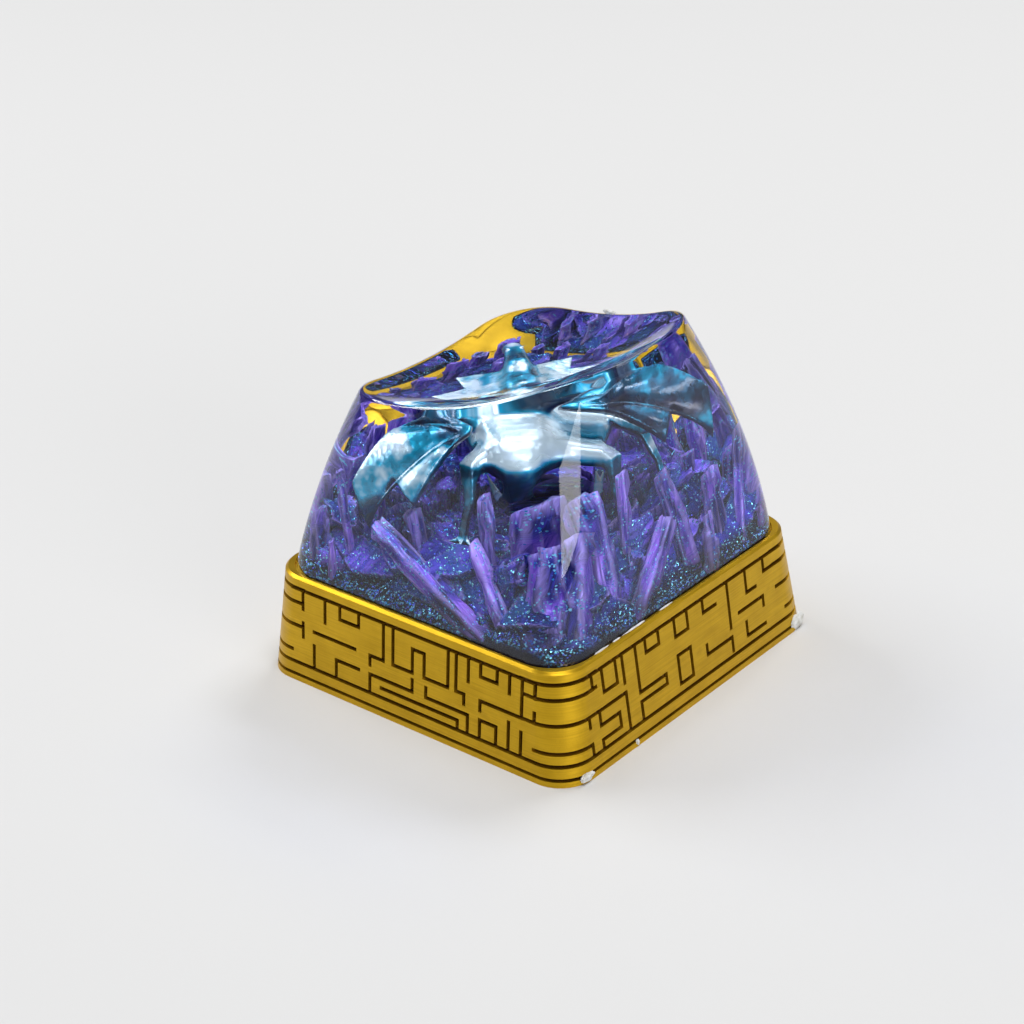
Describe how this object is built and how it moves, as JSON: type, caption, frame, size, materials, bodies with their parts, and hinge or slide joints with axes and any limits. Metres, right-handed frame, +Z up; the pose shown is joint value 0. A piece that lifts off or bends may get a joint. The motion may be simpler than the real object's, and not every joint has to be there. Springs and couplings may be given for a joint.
{
  "type": "artisan keycap",
  "caption": "Sculpted keyboard keycap with a gold fret-cut skirt and a clear dished dome cast round a small winged dragon on a dark glitter bed among purple crystals.",
  "frame": {"origin": "middle of the skirt's foot, on the switch axis", "axes": "+Z up out of the dish, +Y towards the tall back of the dome, +X to the right of someone typing"},
  "size_m": [0.0184, 0.0184, 0.0165],
  "materials": {
    "gold": "metallic gold paint on printed resin",
    "clear_resin": "polished clear casting resin",
    "dark_glitter": "dark navy resin with teal glitter",
    "teal": "pearly teal paint",
    "purple": "pearly violet paint"
  },
  "bodies": {
    "root": {"base_skirt": "gold", "resin_dome": "clear_resin", "glitter_bed": "dark_glitter", "dragon_figure": "teal", "crystal_01": "purple", "crystal_02": "purple", "crystal_03": "purple", "crystal_04": "purple", "crystal_05": "purple", "crystal_06": "purple", "crystal_07": "purple", "crystal_08": "purple", "crystal_09": "purple", "crystal_10": "purple", "crystal_11": "purple", "crystal_12": "purple", "crystal_13": "purple", "crystal_14": "purple", "crystal_15": "purple", "crystal_16": "purple", "crystal_17": "purple", "crystal_18": "purple", "crystal_19": "purple", "crystal_20": "purple", "crystal_21": "purple", "crystal_22": "purple", "crystal_23": "purple", "crystal_24": "purple", "crystal_25": "purple", "crystal_26": "purple", "crystal_27": "purple", "crystal_28": "purple", "crystal_29": "purple", "crystal_30": "purple", "crystal_31": "purple", "crystal_32": "purple", "crystal_33": "purple", "crystal_34": "purple", "crystal_35": "purple", "crystal_36": "purple"}
  },
  "joints": []
}
